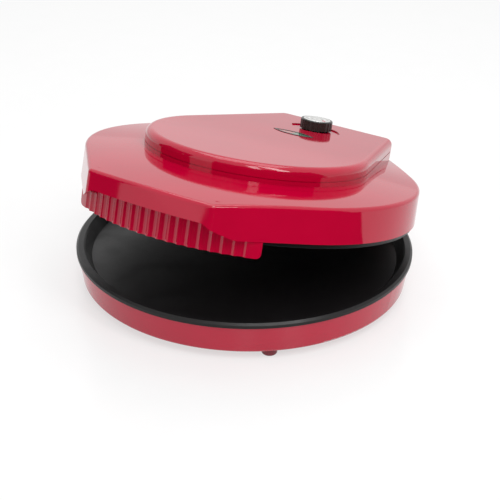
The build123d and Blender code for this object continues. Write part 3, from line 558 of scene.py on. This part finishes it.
def reflections_only(sheet):
    """Shows a stage sheet to glossy rays alone, almost black."""
    material, tree, output = new_material(f"{sheet.name} cloth")
    glow = add_node(tree, "ShaderNodeEmission", Color=(1, 1, 1, 1), Strength=FLAG_GLOW)
    tree.links.new(glow.outputs[0], output.inputs["Surface"])
    sheet.data.materials.append(material)
    for ray in ("camera", "diffuse", "shadow", "transmission", "volume_scatter"):
        setattr(sheet, f"visible_{ray}", False)


def softbox(name, azimuth, elevation, distance, size, power):
    """A rectangular area lamp that looks at the oven, from angles in degrees."""
    lamp = bpy.data.lights.new(name, "AREA")
    lamp.shape = "RECTANGLE"
    lamp.size, lamp.size_y = size
    lamp.energy = power
    holder = bpy.data.objects.new(name, lamp)
    bpy.context.scene.collection.objects.link(holder)
    back = direction(math.radians(azimuth), math.radians(elevation))
    holder.location = LIGHT_AIM + back * distance
    holder.rotation_euler = (-back).to_track_quat("-Z", "Y").to_euler()


class OVEN_OT_stage(bpy.types.Operator):
    """Sets up the floor, the cards, the lamps and the camera"""

    bl_idname = "oven.stage"
    bl_label = "Studio"

    def execute(self, context):
        studio = context.scene.oven_studio
        self.floor()
        self.surroundings(studio)
        self.camera(context, studio)
        context.scene.view_settings.view_transform = "Standard"
        return {"FINISHED"}

    def floor(self):
        """Pale seamless paper that stays white to the eye and keeps a soft shadow."""
        deselect_all()
        bpy.ops.mesh.primitive_plane_add(size=40, location=(0, 0, 0))
        paper = bpy.context.object
        paper.name = "paper_floor"
        material, tree, output = new_material("seamless white paper")
        coords = object_coords(tree)
        fibre = noise(tree, coords, 40, 2)
        matt = add_node(tree, "ShaderNodeBsdfDiffuse",
                        Color=tint(tree, fibre, "#F3F3F3", "#F8F8F8"))
        sheen = add_node(tree, "ShaderNodeBsdfGlossy", Color=(1, 1, 1, 1), Roughness=0.22)
        body = add_node(tree, "ShaderNodeMixShader", Fac=0.1,
                        n1=matt.outputs[0], n2=sheen.outputs[0])
        glow = add_node(tree, "ShaderNodeEmission", Color=(1, 1, 1, 1), Strength=1.0)
        share = add_node(tree, "ShaderNodeMath", {"operation": "MULTIPLY"},
                         n0=seen_directly(tree), n1=PAPER_GLOW)
        mixed = add_node(tree, "ShaderNodeMixShader", Fac=share.outputs[0],
                         n1=body.outputs[0], n2=glow.outputs[0])
        tree.links.new(mixed.outputs[0], output.inputs["Surface"])
        paper.data.materials.append(material)

    def surroundings(self, studio):
        """Even room light, white to the eye, with flags and softboxes round it."""
        world = bpy.data.worlds.new("studio room")
        bpy.context.scene.world = world
        world.use_nodes = True
        tree = world.node_tree
        tree.nodes.clear()
        output = add_node(tree, "ShaderNodeOutputWorld")
        room = add_node(tree, "ShaderNodeBackground", Color=(1, 1, 1, 1), Strength=studio.room)
        white = add_node(tree, "ShaderNodeBackground", Color=(1, 1, 1, 1), Strength=1.0)
        mixed = add_node(tree, "ShaderNodeMixShader", Fac=seen_directly(tree),
                         n1=room.outputs[0], n2=white.outputs[0])
        tree.links.new(mixed.outputs[0], output.inputs["Surface"])
        wall_card("flag_right", 1.25, *RIGHT_FLAG)
        wall_card("flag_left", 1.1, *LEFT_FLAG)
        floor_card("flag_floor", *RIGHT_FLAG)
        softbox("softbox_right", 66, 52, 1.3, (0.28, 0.9), studio.key)
        softbox("softbox_front", 34, 46, 1.3, (0.22, 0.7), studio.front)
        softbox("softbox_top", -150, 74, 1.5, (1.1, 1.1), studio.top)

    def camera(self, context, studio):
        """The camera, aimed at the middle of the lower pan's rim."""
        lens_data = bpy.data.cameras.new("camera")
        lens_data.lens = studio.focal
        lens_data.sensor_width = 36
        lens_data.shift_x, lens_data.shift_y = studio.shift_x, studio.shift_y
        holder = bpy.data.objects.new("camera", lens_data)
        context.scene.collection.objects.link(holder)
        middle = box_centre("lower_plate")
        aim = Vector((middle.x, middle.y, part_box("base_shell")[1][2]))
        back = direction(studio.azimuth, studio.elevation)
        holder.location = aim + back * studio.distance
        look = (-back).to_track_quat("-Z", "Y")
        holder.rotation_mode = "QUATERNION"
        holder.rotation_quaternion = look @ Quaternion((0, 0, 1), studio.roll)
        context.scene.camera = holder


class OVEN_PT_panel(bpy.types.Panel):
    """Lists the oven's steps and settings"""

    bl_idname = "OVEN_PT_panel"
    bl_label = "Pizza oven"
    bl_space_type = "VIEW_3D"
    bl_region_type = "UI"
    bl_category = "Oven"

    def draw(self, context):
        for step in STEPS:
            self.layout.operator(step.bl_idname)
        for group in (context.scene.oven_finish, context.scene.oven_studio):
            column = self.layout.column()
            for field in group.__annotations__:
                column.prop(group, field)


STEPS = (OVEN_OT_housing, OVEN_OT_plates, OVEN_OT_heating, OVEN_OT_hinge,
         OVEN_OT_controls, OVEN_OT_pointer, OVEN_OT_stage)
CLASSES = (OvenFinish, OvenStudio, *STEPS, OVEN_PT_panel)


def register():
    for made in CLASSES:
        bpy.utils.register_class(made)
    bpy.types.Scene.oven_finish = bpy.props.PointerProperty(type=OvenFinish)
    bpy.types.Scene.oven_studio = bpy.props.PointerProperty(type=OvenStudio)


def unregister():
    del bpy.types.Scene.oven_studio
    del bpy.types.Scene.oven_finish
    for made in reversed(CLASSES):
        bpy.utils.unregister_class(made)


def main():
    register()
    for step in STEPS:
        group, name = step.bl_idname.split(".")
        getattr(getattr(bpy.ops, group), name)()


if __name__ == "__main__":
    main()
